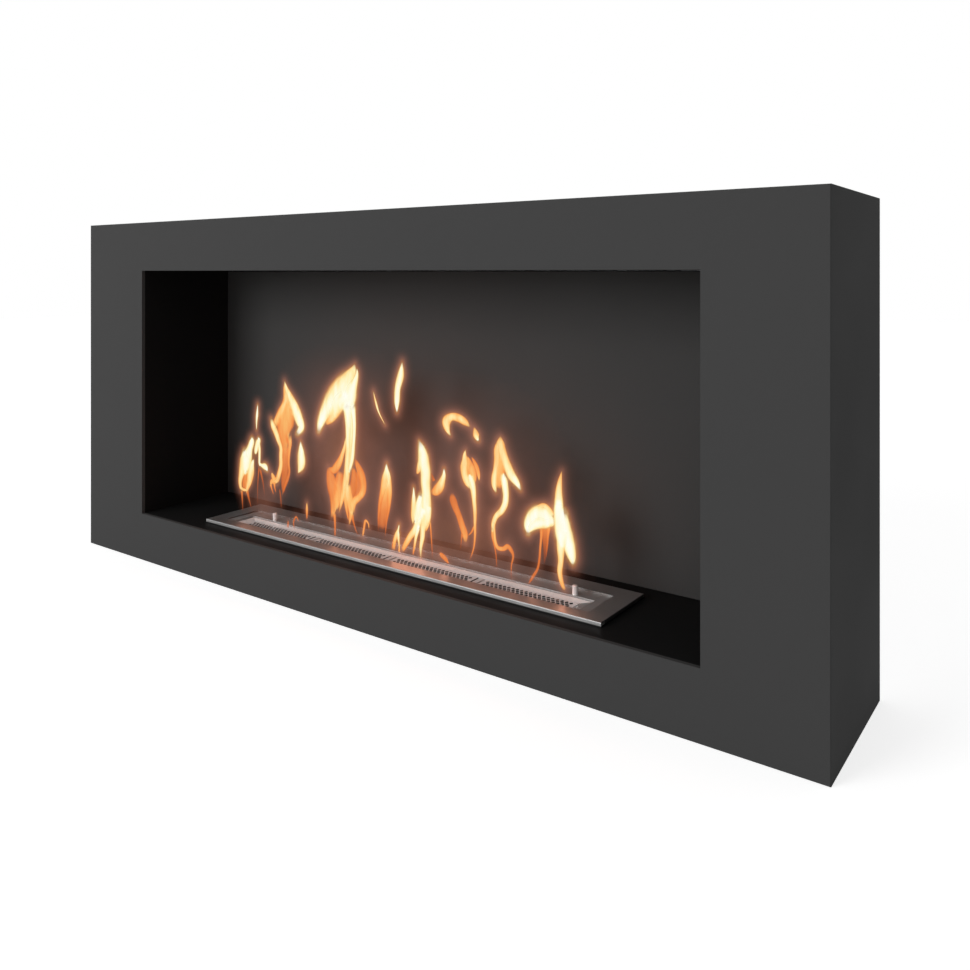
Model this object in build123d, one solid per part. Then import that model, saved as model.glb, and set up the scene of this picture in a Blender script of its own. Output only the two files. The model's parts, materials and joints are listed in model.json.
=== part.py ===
from build123d import *
import os

# Bioethanol fireplace: a wide steel casing with a recessed fire chamber, a burner that
# lifts out of the chamber's floor, and a slide that closes the burner's trough.
# Millimetres. +X is right and +Z is up for someone who faces the fire; -Y is the front.
# The origin is under the middle of the casing, at the height of its base.

# ---------------------------------------------------------------- casing
CASING_WIDTH = 900.0
CASING_HEIGHT = 400.0
CASING_DEPTH = 145.0
CASING_SHEET = 2.0
CASING_EDGE_RADIUS = 0.8
MARGIN_LEFT = 112.0
MARGIN_RIGHT = 91.0
MARGIN_TOP = 57.0
MARGIN_BOTTOM = 55.0
OPENING_RETURN = 4.0        # from the front face to the end of the opening's turned-in edge
REAR_RECESS = 12.0          # from the casing's rear edge forward to the rear ledge
LEDGE_WIDTH = 14.0

# ---------------------------------------------------------------- fire chamber
CHAMBER_REAR_GAP = 2.0      # from the chamber's rear edges to the casing's rear ledge
CHAMBER_SHEET = 1.5
CHAMBER_FLANGE = 14.0
BACK_WALL_RIM = 7.0
BACK_WALL_GAP = 0.5         # all round the back wall, inside the other four walls
BACK_WALL_BEND = 1.0
FLOOR_HOLE_CLEARANCE = 2.5  # round the tank
SUPPORT_SHEET = 1.5
SUPPORT_WIDTH = 26.0
SUPPORT_END_GAP = 14.5      # from a support's ends to the chamber's front and rear edges
SUPPORT_EDGE = 52.5         # from the opening's side to a support's middle

# ---------------------------------------------------------------- rear cover and hanging parts
COVER_SHEET = 1.5
COVER_CLEARANCE = 0.5
VENT_COUNT = 12
VENT_PITCH = 54.0
VENT_WIDTH = 6.0
VENT_HEIGHT = 20.0
VENT_EDGE = 32.0            # from the casing's base or top to the middle of a row of vents
RAIL_LENGTH = 600.0
RAIL_SHEET = 2.0
RAIL_PLATE_HEIGHT = 36.0
RAIL_STEP = 5.0             # from the wall to the back of the rail's tongue
RAIL_TONGUE_HEIGHT = 20.0
RAIL_DROP = 50.0            # from the casing's top down to the rail's top
RAIL_OUTER_SPACING = 520.0
RAIL_INNER_SPACING = 200.0
RAIL_HOLE_RADIUS = 3.25
RAIL_HOLE_EDGE = 16.0       # above the rail's lower edge
HOOK_SHEET = 2.0
HOOK_WIDTH = 90.0
HOOK_SPACING = 380.0
HOOK_TONGUE_HEIGHT = 14.0
HOOK_PLATE_HEIGHT = 40.0
HOOK_PLAY = 0.5             # between the two tongues

# ---------------------------------------------------------------- burner
BURNER_SETBACK = 21.7       # from the casing's front face to the plate's front edge
TROUGH_LENGTH = 448.0
TROUGH_WIDTH = 26.5
TROUGH_END_SLOPE = 9.0      # how far an end wall leans in
TROUGH_SIDE_SLOPE = 4.75    # how far a long wall leans in
TROUGH_FALL = 1.6           # height of the leaning walls
SHELF_WIDTH = 1.4           # below the mesh, all round the trough's bed
FRAME_SHEET = 1.2
FRAME_INSET = 0.3           # inside the plate's folded edge
WINDOW_FRONT_MARGIN = 1.6   # from the trough to the window in the plate
WINDOW_REAR_MARGIN = 17.0
WINDOW_END_MARGIN = 12.3
WINDOW_CORNER = 1.5
PLATE_SHEET = 1.5
PLATE_EDGE_RADIUS = 0.6
PLATE_FRONT_MARGIN = 13.7   # from the window to the plate's edge
PLATE_END_MARGIN = 19.2
MESH_COUNT = 4
MESH_SHEET = 1.4
MESH_GAP = 9.2
MESH_PLAY = 0.4             # between the outer inserts and the trough's ends
MESH_SIDE_PLAY = 0.1
MESH_PITCH = 4.7
MESH_ROW_COUNT = 3
MESH_ROW_PITCH = 3.5
MESH_HOLE_LENGTH = 3.7
MESH_HOLE_WIDTH = 5.0
MESH_END_BORDER = 1.6
CROSS_BAR_WIDTH = 5.2
TANK_SHEET = 1.2
TANK_END_ROOM = 1.6         # from the trough's outside to the tank's inside
TANK_FRONT_ROOM = 3.6
TANK_REAR_ROOM = 25.1
TANK_BASE_CLEARANCE = 10.0  # above the casing's bottom sheet
WOOL_COUNT = 4
WOOL_CLEARANCE = 0.5
WOOL_TOP_GAP = 1.0

# ---------------------------------------------------------------- closing slide
SLIDE_SHEET = 1.2
SLIDE_END_LAP = 2.0         # past the trough's ends
SLIDE_FRONT_LAP = 1.5       # past the trough's front edge, with the trough closed
SLIDE_REAR_LAP = 5.5        # past the trough's rear edge, with the trough closed
SLIDE_OPEN_GAP = 1.0        # behind the trough, with the trough open
SLIDE_REAR_ROOM = 0.4       # behind the slide, with the trough open
SLIDE_CLEARANCE = 0.15      # above, below and at the stop
SLIDE_END_CLEARANCE = 0.3
KNOB_RADIUS = 2.5
KNOB_HEIGHT = 8.3
KNOB_CHAMFER = 0.5
KNOB_TAIL_RADIUS = 1.5
KNOB_EDGE = 0.3             # from a knob to the slide's front edge
KNOB_LEFT_INSET = 35.0      # from the slide's end to the knob's axis
KNOB_RIGHT_INSET = 21.2

# ---------------------------------------------------------------- fasteners
THREAD_CLEARANCE = 0.02
HOLE_CLEARANCE = 0.3
STUD_RADIUS = 2.0
STUD_LENGTH = 10.0
STUD_EDGE = 8.0             # from the opening's edge out to a row of studs
STUD_CORNER = 66.0          # from the opening's corners to the first stud
STUD_COUNT = 2              # in each row
NUT_WIDTH = 7.0
NUT_HEIGHT = 3.2
SCREW_RADIUS = 1.6
SCREW_LENGTH = 6.0
SCREW_HEAD_WIDTH = 5.5
SCREW_HEAD_HEIGHT = 2.5
COVER_SCREW_COUNT = 2       # in each row
BACK_WALL_SCREW_COUNT = 2   # on each side
BACK_WALL_SCREW_CORNER = 60.0
BACK_WALL_SCREW_EDGE = 3.2  # from the rim's rear edge

# ---------------------------------------------------------------- places that follow
FRONT = -CASING_DEPTH / 2
REAR = CASING_DEPTH / 2
LEFT = -CASING_WIDTH / 2
RIGHT = CASING_WIDTH / 2
OPEN_LEFT = LEFT + MARGIN_LEFT
OPEN_RIGHT = RIGHT - MARGIN_RIGHT
OPEN_BASE = MARGIN_BOTTOM
OPEN_TOP = CASING_HEIGHT - MARGIN_TOP
MIDDLE = (OPEN_LEFT + OPEN_RIGHT) / 2
FRONT_SHEET_BACK = FRONT + CASING_SHEET
CHAMBER_FRONT = FRONT + OPENING_RETURN
LEDGE_REAR = REAR - REAR_RECESS
LEDGE_FRONT = LEDGE_REAR - CASING_SHEET
COVER_REAR = LEDGE_REAR + COVER_SHEET
CHAMBER_REAR = LEDGE_FRONT - CHAMBER_REAR_GAP
BACK_WALL_FACE = CHAMBER_REAR - BACK_WALL_RIM
SIDE_LEFT = OPEN_LEFT - CHAMBER_SHEET
SIDE_RIGHT = OPEN_RIGHT + CHAMBER_SHEET

PLATE_FRONT = FRONT + BURNER_SETBACK
WINDOW_FRONT = PLATE_FRONT + PLATE_FRONT_MARGIN
TROUGH_FRONT = WINDOW_FRONT + WINDOW_FRONT_MARGIN
TROUGH_REAR = TROUGH_FRONT + TROUGH_WIDTH
WINDOW_REAR = TROUGH_REAR + WINDOW_REAR_MARGIN
SLIDE_FRONT = TROUGH_REAR + SLIDE_OPEN_GAP
SLIDE_REAR = SLIDE_FRONT + SLIDE_FRONT_LAP + TROUGH_WIDTH + SLIDE_REAR_LAP
SLIDE_TRAVEL = SLIDE_OPEN_GAP + TROUGH_WIDTH + SLIDE_FRONT_LAP
STOP_REAR = SLIDE_FRONT - SLIDE_TRAVEL - SLIDE_CLEARANCE
KNOB_Y = SLIDE_FRONT + KNOB_EDGE + KNOB_RADIUS
FRAME_FRONT = PLATE_FRONT + PLATE_SHEET + FRAME_INSET
FRAME_REAR = SLIDE_REAR + SLIDE_REAR_ROOM
PLATE_REAR = FRAME_REAR + FRAME_INSET + PLATE_SHEET
TANK_FRONT = TROUGH_FRONT - FRAME_SHEET - TANK_FRONT_ROOM - TANK_SHEET
TANK_REAR = TROUGH_REAR + FRAME_SHEET + TANK_REAR_ROOM + TANK_SHEET

WINDOW_LENGTH = TROUGH_LENGTH + 2 * WINDOW_END_MARGIN
PLATE_LENGTH = WINDOW_LENGTH + 2 * PLATE_END_MARGIN
FRAME_LENGTH = PLATE_LENGTH - 2 * (PLATE_SHEET + FRAME_INSET)
SLIDE_LENGTH = TROUGH_LENGTH + 2 * SLIDE_END_LAP
STOP_LENGTH = SLIDE_LENGTH + 2 * SLIDE_END_CLEARANCE
TANK_LENGTH = TROUGH_LENGTH + 2 * (FRAME_SHEET + TANK_END_ROOM + TANK_SHEET)
BED_LENGTH = TROUGH_LENGTH - 2 * TROUGH_END_SLOPE
BED_FRONT = TROUGH_FRONT + TROUGH_SIDE_SLOPE
BED_REAR = TROUGH_REAR - TROUGH_SIDE_SLOPE
MESH_LENGTH = (BED_LENGTH - 2 * MESH_PLAY - (MESH_COUNT - 1) * MESH_GAP) / MESH_COUNT
MESH_STEP = MESH_LENGTH + MESH_GAP
KNOB_LEFT = MIDDLE - SLIDE_LENGTH / 2 + KNOB_LEFT_INSET
KNOB_RIGHT = MIDDLE + SLIDE_LENGTH / 2 - KNOB_RIGHT_INSET

FRAME_UNDERSIDE = OPEN_BASE
FRAME_TOP = FRAME_UNDERSIDE + FRAME_SHEET
SLIDE_UNDERSIDE = FRAME_TOP + SLIDE_CLEARANCE
SLIDE_TOP = SLIDE_UNDERSIDE + SLIDE_SHEET
PLATE_UNDERSIDE = SLIDE_TOP + SLIDE_CLEARANCE
PLATE_TOP = PLATE_UNDERSIDE + PLATE_SHEET
BED_TOP = FRAME_TOP - TROUGH_FALL
SHELF_TOP = BED_TOP - MESH_SHEET
SHELF_UNDERSIDE = SHELF_TOP - FRAME_SHEET
TANK_BASE = CASING_SHEET + TANK_BASE_CLEARANCE

RAIL_TOP = CASING_HEIGHT - RAIL_DROP
RAIL_SHELF = RAIL_TOP - RAIL_TONGUE_HEIGHT
RAIL_BASE = RAIL_SHELF - RAIL_PLATE_HEIGHT
HOOK_TOP = RAIL_TOP + HOOK_SHEET
HOOK_BASE = HOOK_TOP - HOOK_PLATE_HEIGHT
HOOK_REAR = REAR - RAIL_STEP + HOOK_PLAY + HOOK_SHEET


# ---------------------------------------------------------------- helpers
def block(left, right, front, rear, base, top):
    """The solid between six planes."""
    corner = (Align.MIN, Align.MIN, Align.MIN)
    return Pos(left, front, base) * Box(right - left, rear - front, top - base, align=corner)


def centred(length, front, rear, base, top):
    """The block of a length about the burner's middle."""
    return block(MIDDLE - length / 2, MIDDLE + length / 2, front, rear, base, top)


def level_outline(length, front, rear, level):
    """A rectangle about the burner's middle, lying at a level."""
    return Pos(MIDDLE, (front + rear) / 2, level) * Rectangle(length, rear - front)


def bent_strip(points, sheet, side, plane, length):
    """A sheet bent along a line of points in a plane, which grows along the plane's normal."""
    section = make_face(offset(Polyline(*points), amount=sheet, side=side))
    return extrude(plane * section, amount=length)


def tray(solid, open_face, sheet):
    """A sheet folded round a block, open at one face."""
    return offset(solid, amount=-sheet, openings=open_face)


def spaced(first, last, count):
    """Evenly spaced places from first to last."""
    return [first + (last - first) * i / (count - 1) for i in range(count)]


def rod(radius, start, direction, length):
    """A round bar from a point along a direction."""
    bar = Cylinder(radius, length, align=(Align.CENTER, Align.CENTER, Align.MIN))
    return Plane(origin=start, z_dir=direction) * bar


def turned(profile):
    """A turned piece along +Z from points of (radius, height), closed along its axis."""
    face = make_face(Polyline(*profile, close=True))
    return revolve(Plane.XZ * face, Axis.Z)


def hexagon(width, height):
    """An upright hexagonal bar of a width across its flats."""
    return extrude(RegularPolygon(width / 2, 6, major_radius=False), amount=height)


def screw(seat, direction):
    """A screw whose hexagonal head stands on its seat, in the direction given."""
    shank = Pos(0, 0, -SCREW_LENGTH) * Cylinder(
        SCREW_RADIUS, SCREW_LENGTH, align=(Align.CENTER, Align.CENTER, Align.MIN))
    whole = shank + hexagon(SCREW_HEAD_WIDTH, SCREW_HEAD_HEIGHT)
    return Plane(origin=seat, z_dir=direction) * whole


def screw_holes(seats, direction, clearance):
    """What is drilled for screws on these seats."""
    away = [-part for part in direction]
    return [rod(SCREW_RADIUS + clearance, seat, away, SCREW_LENGTH) for seat in seats]


# ---------------------------------------------------------------- fastener places
def stud_places(level):
    """(x, z) of a row of studs at a level."""
    return [(x, level) for x in spaced(OPEN_LEFT + STUD_CORNER, OPEN_RIGHT - STUD_CORNER,
                                       STUD_COUNT)]


STUDS_BELOW = stud_places(OPEN_BASE - STUD_EDGE)
STUDS_ABOVE = stud_places(OPEN_TOP + STUD_EDGE)


def cover_screw_seats():
    """On the rear cover, above the middle of the ledge's upper and lower strips."""
    inset = CASING_SHEET + LEDGE_WIDTH / 2
    return [(x, COVER_REAR, z) for z in (inset, CASING_HEIGHT - inset)
            for x in spaced(LEFT + inset, RIGHT - inset, COVER_SCREW_COUNT)]


def back_wall_screw_seats(side_x):
    """On the outer face of one side panel, over the back wall's rim."""
    y = CHAMBER_REAR - BACK_WALL_SCREW_EDGE
    first = OPEN_BASE + BACK_WALL_SCREW_CORNER
    last = OPEN_TOP - BACK_WALL_SCREW_CORNER
    return [(side_x, y, z) for z in spaced(first, last, BACK_WALL_SCREW_COUNT)]


# ---------------------------------------------------------------- casing and rear
def casing():
    """Front, sides, top and base in one welded shell, with the opening's edge turned in."""
    body = block(LEFT, RIGHT, FRONT, REAR, 0, CASING_HEIGHT)
    body = fillet(body.faces().sort_by(Axis.Y)[0].edges(), CASING_EDGE_RADIUS)
    inside = (LEFT + CASING_SHEET, RIGHT - CASING_SHEET)
    body -= block(*inside, FRONT_SHEET_BACK, REAR, CASING_SHEET, CASING_HEIGHT - CASING_SHEET)
    body += block(OPEN_LEFT - CASING_SHEET, OPEN_RIGHT + CASING_SHEET, FRONT_SHEET_BACK,
                  CHAMBER_FRONT, OPEN_BASE - CASING_SHEET, OPEN_TOP + CASING_SHEET)
    body -= block(OPEN_LEFT, OPEN_RIGHT, FRONT, CHAMBER_FRONT, OPEN_BASE, OPEN_TOP)
    ledge = block(*inside, LEDGE_FRONT, LEDGE_REAR, CASING_SHEET, CASING_HEIGHT - CASING_SHEET)
    inner = CASING_SHEET + LEDGE_WIDTH
    ledge -= block(LEFT + inner, RIGHT - inner, LEDGE_FRONT, LEDGE_REAR, inner,
                   CASING_HEIGHT - inner)
    body += ledge
    return body - screw_holes(cover_screw_seats(), (0, 1, 0), THREAD_CLEARANCE)


def rear_cover():
    """Flat sheet on the ledge, with a row of vents near its top and another near its base."""
    gap = CASING_SHEET + COVER_CLEARANCE
    sheet = block(LEFT + gap, RIGHT - gap, LEDGE_REAR, COVER_REAR, gap, CASING_HEIGHT - gap)
    end = VENT_PITCH * (VENT_COUNT - 1) / 2
    for x in spaced(-end, end, VENT_COUNT):
        for z in (VENT_EDGE, CASING_HEIGHT - VENT_EDGE):
            sheet -= block(x - VENT_WIDTH / 2, x + VENT_WIDTH / 2, LEDGE_REAR, COVER_REAR,
                           z - VENT_HEIGHT / 2, z + VENT_HEIGHT / 2)
    return sheet - screw_holes(cover_screw_seats(), (0, 1, 0), HOLE_CLEARANCE)


def wall_rail():
    """Rail that is screwed to the wall; its tongue stands up in front of the wall."""
    points = [(REAR, RAIL_BASE), (REAR, RAIL_SHELF), (REAR - RAIL_STEP, RAIL_SHELF),
              (REAR - RAIL_STEP, RAIL_TOP)]
    start = Plane.YZ.offset(-RAIL_LENGTH / 2)
    rail = bent_strip(points, RAIL_SHEET, Side.LEFT, start, RAIL_LENGTH)
    level = RAIL_BASE + RAIL_HOLE_EDGE
    for spacing in (RAIL_OUTER_SPACING, RAIL_INNER_SPACING):
        rail -= [rod(RAIL_HOLE_RADIUS, (x, REAR, level), (0, -1, 0), RAIL_SHEET)
                 for x in (-spacing / 2, spacing / 2)]
    return rail


def hanging_hooks():
    """Two hooks, welded to the rear cover, that hang over the rail's tongue."""
    points = [(COVER_REAR, HOOK_BASE), (COVER_REAR, HOOK_TOP), (HOOK_REAR, HOOK_TOP),
              (HOOK_REAR, RAIL_TOP - HOOK_TONGUE_HEIGHT)]
    starts = [middle - HOOK_WIDTH / 2 for middle in (-HOOK_SPACING / 2, HOOK_SPACING / 2)]
    return Compound(children=[
        bent_strip(points, HOOK_SHEET, Side.RIGHT, Plane.YZ.offset(start), HOOK_WIDTH)
        for start in starts])


# ---------------------------------------------------------------- fire chamber
def stud_holes(places):
    """Holes for a row of studs in a front flange of the chamber."""
    radius = STUD_RADIUS + HOLE_CLEARANCE
    return [rod(radius, (x, CHAMBER_FRONT, z), (0, 1, 0), CHAMBER_SHEET) for x, z in places]


def floor_panel():
    """Floor with four edges turned down and a hole that the tank hangs in."""
    panel = block(OPEN_LEFT, OPEN_RIGHT, CHAMBER_FRONT, CHAMBER_REAR,
                  OPEN_BASE - CHAMBER_FLANGE, OPEN_BASE)
    panel = tray(panel, panel.faces().sort_by(Axis.Z)[0], CHAMBER_SHEET)
    panel -= centred(TANK_LENGTH + 2 * FLOOR_HOLE_CLEARANCE, TANK_FRONT - FLOOR_HOLE_CLEARANCE,
                     TANK_REAR + FLOOR_HOLE_CLEARANCE, OPEN_BASE - CHAMBER_SHEET, OPEN_BASE)
    return panel - stud_holes(STUDS_BELOW)


def ceiling_panel():
    """Ceiling with four edges turned up."""
    panel = block(OPEN_LEFT, OPEN_RIGHT, CHAMBER_FRONT, CHAMBER_REAR, OPEN_TOP,
                  OPEN_TOP + CHAMBER_FLANGE)
    panel = tray(panel, panel.faces().sort_by(Axis.Z)[-1], CHAMBER_SHEET)
    return panel - stud_holes(STUDS_ABOVE)


def side_panel(inner_x, outward):
    """Side wall of the chamber, its front edge turned outward, spot-welded to the flanges of
    the floor and the ceiling."""
    flange_end = inner_x + outward * (CHAMBER_SHEET + CHAMBER_FLANGE)
    points = [(inner_x, CHAMBER_REAR), (inner_x, CHAMBER_FRONT), (flange_end, CHAMBER_FRONT)]
    base = OPEN_BASE - CHAMBER_FLANGE
    height = OPEN_TOP - OPEN_BASE + 2 * CHAMBER_FLANGE
    side = Side.RIGHT if outward < 0 else Side.LEFT
    panel = bent_strip(points, CHAMBER_SHEET, side, Plane.XY.offset(base), height)
    outer_x = inner_x + outward * CHAMBER_SHEET
    screws = screw_holes(back_wall_screw_seats(outer_x), (outward, 0, 0), HOLE_CLEARANCE)
    return panel - screws


def back_wall():
    """Satin sheet at the back of the chamber, its rim folded to the rear."""
    left = OPEN_LEFT + BACK_WALL_GAP
    right = OPEN_RIGHT - BACK_WALL_GAP
    base = OPEN_BASE + BACK_WALL_GAP
    top = OPEN_TOP - BACK_WALL_GAP
    wall = block(left, right, BACK_WALL_FACE, CHAMBER_REAR, base, top)
    wall = fillet(wall.faces().sort_by(Axis.Y)[0].edges(), BACK_WALL_BEND)
    wall -= block(left + CHAMBER_SHEET, right - CHAMBER_SHEET, BACK_WALL_FACE + CHAMBER_SHEET,
                  CHAMBER_REAR, base + CHAMBER_SHEET, top - CHAMBER_SHEET)
    wall -= screw_holes(back_wall_screw_seats(SIDE_LEFT), (-1, 0, 0), THREAD_CLEARANCE)
    return wall - screw_holes(back_wall_screw_seats(SIDE_RIGHT), (1, 0, 0), THREAD_CLEARANCE)


def floor_support(middle_x):
    """Channel that stands on the casing's base and carries the chamber's floor."""
    half = SUPPORT_WIDTH / 2
    top = OPEN_BASE - CHAMBER_SHEET
    points = [(half, CASING_SHEET), (-half, CASING_SHEET), (-half, top), (half, top)]
    rear = CHAMBER_REAR - SUPPORT_END_GAP
    start = Plane(origin=(middle_x, rear, 0), x_dir=(1, 0, 0), z_dir=(0, -1, 0))
    depth = rear - CHAMBER_FRONT - SUPPORT_END_GAP
    return bent_strip(points, SUPPORT_SHEET, Side.RIGHT, start, depth)


# ---------------------------------------------------------------- burner
def burner_plate():
    """Brushed plate with folded edges and a window over the trough and the slide."""
    plate = centred(PLATE_LENGTH, PLATE_FRONT, PLATE_REAR, OPEN_BASE, PLATE_TOP)
    plate = fillet(plate.faces().sort_by(Axis.Z)[-1].edges(), PLATE_EDGE_RADIUS)
    plate -= centred(PLATE_LENGTH - 2 * PLATE_SHEET, PLATE_FRONT + PLATE_SHEET,
                     PLATE_REAR - PLATE_SHEET, OPEN_BASE, PLATE_UNDERSIDE)
    window = centred(WINDOW_LENGTH, WINDOW_FRONT, WINDOW_REAR, PLATE_UNDERSIDE, PLATE_TOP)
    return plate - fillet(window.edges().filter_by(Axis.Z), WINDOW_CORNER)


def hopper(wall, bed_base):
    """Leaning walls over a straight bed: the trough's inside, or its outside for a wall."""
    mouth = level_outline(TROUGH_LENGTH + 2 * wall, TROUGH_FRONT - wall, TROUGH_REAR + wall,
                          FRAME_TOP)
    bed = level_outline(BED_LENGTH + 2 * wall, BED_FRONT - wall, BED_REAR + wall, BED_TOP)
    return loft([mouth.face(), bed.face()]) + extrude(bed, amount=bed_base - BED_TOP)


def trough_frame():
    """Sheet below the slide, with the trough pressed into it and a shelf for the mesh."""
    frame = centred(FRAME_LENGTH, FRAME_FRONT, FRAME_REAR, FRAME_UNDERSIDE, FRAME_TOP)
    frame += hopper(FRAME_SHEET, SHELF_UNDERSIDE)
    frame -= hopper(0, SHELF_TOP)
    return frame - centred(BED_LENGTH - 2 * SHELF_WIDTH, BED_FRONT + SHELF_WIDTH,
                           BED_REAR - SHELF_WIDTH, SHELF_UNDERSIDE, SHELF_TOP)


def mesh_middle(place):
    """x at a place in the row of inserts, counted from 0; half-way places are the gaps."""
    return MIDDLE + (place - (MESH_COUNT - 1) / 2) * MESH_STEP


def mesh_insert(number):
    """Expanded-metal strip: staggered rows of diamonds, which leave crossing strands."""
    half_length = MESH_HOLE_LENGTH / 2
    half_width = MESH_HOLE_WIDTH / 2
    diamond = make_face(Polyline((half_length, 0), (0, half_width), (-half_length, 0),
                                 (0, -half_width), close=True))
    in_long_row = int((MESH_LENGTH - 2 * MESH_END_BORDER) // MESH_PITCH)
    holes = []
    for row in range(MESH_ROW_COUNT):
        count = in_long_row - row % 2
        y = (row - (MESH_ROW_COUNT - 1) / 2) * MESH_ROW_PITCH
        holes += [Pos((i - (count - 1) / 2) * MESH_PITCH, y) * diamond for i in range(count)]
    strip = Rectangle(MESH_LENGTH, BED_REAR - BED_FRONT - 2 * MESH_SIDE_PLAY) - holes
    place = Pos(mesh_middle(number), (BED_FRONT + BED_REAR) / 2, SHELF_TOP)
    return place * extrude(strip, amount=MESH_SHEET)


def cross_bars():
    """Bars that bridge the trough between the mesh inserts."""
    middles = [mesh_middle(number - 0.5) for number in range(1, MESH_COUNT)]
    return Compound(children=[
        block(x - CROSS_BAR_WIDTH / 2, x + CROSS_BAR_WIDTH / 2, BED_FRONT, BED_REAR, SHELF_TOP,
              BED_TOP) for x in middles])


def fuel_tank():
    """Open tank, welded by its rim to the underside of the trough frame."""
    tank = centred(TANK_LENGTH, TANK_FRONT, TANK_REAR, TANK_BASE, FRAME_UNDERSIDE)
    return tray(tank, tank.faces().sort_by(Axis.Z)[-1], TANK_SHEET)


def ceramic_wool():
    """Blocks that soak up the fuel, side by side in the tank."""
    around = TANK_SHEET + WOOL_CLEARANCE
    step = (TANK_LENGTH - 2 * around + WOOL_CLEARANCE) / WOOL_COUNT
    left = MIDDLE - TANK_LENGTH / 2 + around
    return Compound(children=[
        block(left + i * step, left + (i + 1) * step - WOOL_CLEARANCE, TANK_FRONT + around,
              TANK_REAR - around, TANK_BASE + TANK_SHEET, SHELF_UNDERSIDE - WOOL_TOP_GAP)
        for i in range(WOOL_COUNT)])


def slide_guide(side):
    """Strip between the frame and the plate that guides one end of the slide."""
    inner = MIDDLE + side * STOP_LENGTH / 2
    outer = MIDDLE + side * FRAME_LENGTH / 2
    return block(min(inner, outer), max(inner, outer), FRAME_FRONT, FRAME_REAR, FRAME_TOP,
                 PLATE_UNDERSIDE)


def slide_stop():
    """Strip in front that stops the slide when the trough is closed."""
    return centred(STOP_LENGTH, FRAME_FRONT, STOP_REAR, FRAME_TOP, PLATE_UNDERSIDE)


# ---------------------------------------------------------------- closing slide
def closing_slide():
    """Thin sheet that covers the trough when it is drawn forward by its knobs."""
    sheet = centred(SLIDE_LENGTH, SLIDE_FRONT, SLIDE_REAR, SLIDE_UNDERSIDE, SLIDE_TOP)
    radius = KNOB_TAIL_RADIUS + THREAD_CLEARANCE
    return sheet - [rod(radius, (x, KNOB_Y, SLIDE_UNDERSIDE), (0, 0, 1), SLIDE_SHEET)
                    for x in (KNOB_LEFT, KNOB_RIGHT)]


def slide_knob(x):
    """Turned pin, riveted into the slide by its thinner tail."""
    profile = [
        (0, -SLIDE_SHEET), (KNOB_TAIL_RADIUS, -SLIDE_SHEET), (KNOB_TAIL_RADIUS, 0),
        (KNOB_RADIUS, 0), (KNOB_RADIUS, KNOB_HEIGHT - KNOB_CHAMFER),
        (KNOB_RADIUS - KNOB_CHAMFER, KNOB_HEIGHT), (0, KNOB_HEIGHT)]
    return Pos(x, KNOB_Y, SLIDE_TOP) * turned(profile)


# ---------------------------------------------------------------- fasteners
def chamber_studs():
    """Threaded studs welded to the back of the front sheet."""
    return Compound(children=[rod(STUD_RADIUS, (x, FRONT_SHEET_BACK, z), (0, 1, 0), STUD_LENGTH)
                              for x, z in STUDS_BELOW + STUDS_ABOVE])


def stud_nuts():
    """Hexagon nuts that press the chamber's flanges forward."""
    nut = hexagon(NUT_WIDTH, NUT_HEIGHT)
    nut -= rod(STUD_RADIUS + THREAD_CLEARANCE, (0, 0, 0), (0, 0, 1), NUT_HEIGHT)
    seat = CHAMBER_FRONT + CHAMBER_SHEET
    return Compound(children=[Plane(origin=(x, seat, z), z_dir=(0, 1, 0)) * nut
                              for x, z in STUDS_BELOW + STUDS_ABOVE])


def back_wall_screws():
    """Screws through the side panels into the back wall's rim."""
    screws = [screw(seat, (-1, 0, 0)) for seat in back_wall_screw_seats(SIDE_LEFT)]
    screws += [screw(seat, (1, 0, 0)) for seat in back_wall_screw_seats(SIDE_RIGHT)]
    return Compound(children=screws)


def cover_screws():
    """Screws through the rear cover into the casing's ledge."""
    return Compound(children=[screw(seat, (0, 1, 0)) for seat in cover_screw_seats()])


# ---------------------------------------------------------------- all the pieces
def all_pieces():
    """Every sub-part by its name."""
    pieces = {
        "casing": casing(),
        "rear_cover": rear_cover(),
        "wall_rail": wall_rail(),
        "hanging_hooks": hanging_hooks(),
        "floor_panel": floor_panel(),
        "ceiling_panel": ceiling_panel(),
        "left_side_panel": side_panel(OPEN_LEFT, -1),
        "right_side_panel": side_panel(OPEN_RIGHT, 1),
        "back_wall": back_wall(),
        "left_floor_support": floor_support(OPEN_LEFT + SUPPORT_EDGE),
        "right_floor_support": floor_support(OPEN_RIGHT - SUPPORT_EDGE),
        "burner_plate": burner_plate(),
        "trough_frame": trough_frame(),
        "trough_cross_bars": cross_bars(),
        "fuel_tank": fuel_tank(),
        "ceramic_wool": ceramic_wool(),
        "left_slide_guide": slide_guide(-1),
        "right_slide_guide": slide_guide(1),
        "slide_stop": slide_stop(),
        "closing_slide": closing_slide(),
        "left_slide_knob": slide_knob(KNOB_LEFT),
        "right_slide_knob": slide_knob(KNOB_RIGHT),
        "chamber_studs": chamber_studs(),
        "stud_nuts": stud_nuts(),
        "back_wall_screws": back_wall_screws(),
        "cover_screws": cover_screws(),
    }
    for number in range(MESH_COUNT):
        pieces[f"mesh_insert_{number + 1}"] = mesh_insert(number)
    return pieces


os.makedirs("parts", exist_ok=True)
for name, piece in all_pieces().items():
    export_step(piece, f"parts/{name}.step")
    size = piece.bounding_box().size
    print(f"{name}: {len(piece.solids())} solids, {size.X:.1f} x {size.Y:.1f} x {size.Z:.1f} mm")
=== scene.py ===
# %% [markdown]
# # A recessed bioethanol fireplace
# The real object is a wide steel box that hangs on a wall. A black fire chamber is set into
# it, and a burner lies in the chamber's floor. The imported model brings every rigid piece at
# its real size, so this lesson only dresses it: camera, light, finishes, and the fire.
# Everything is in metres; +X is right, +Z is up and -Y is towards someone facing the fire.

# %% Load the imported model
import json
import math

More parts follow.
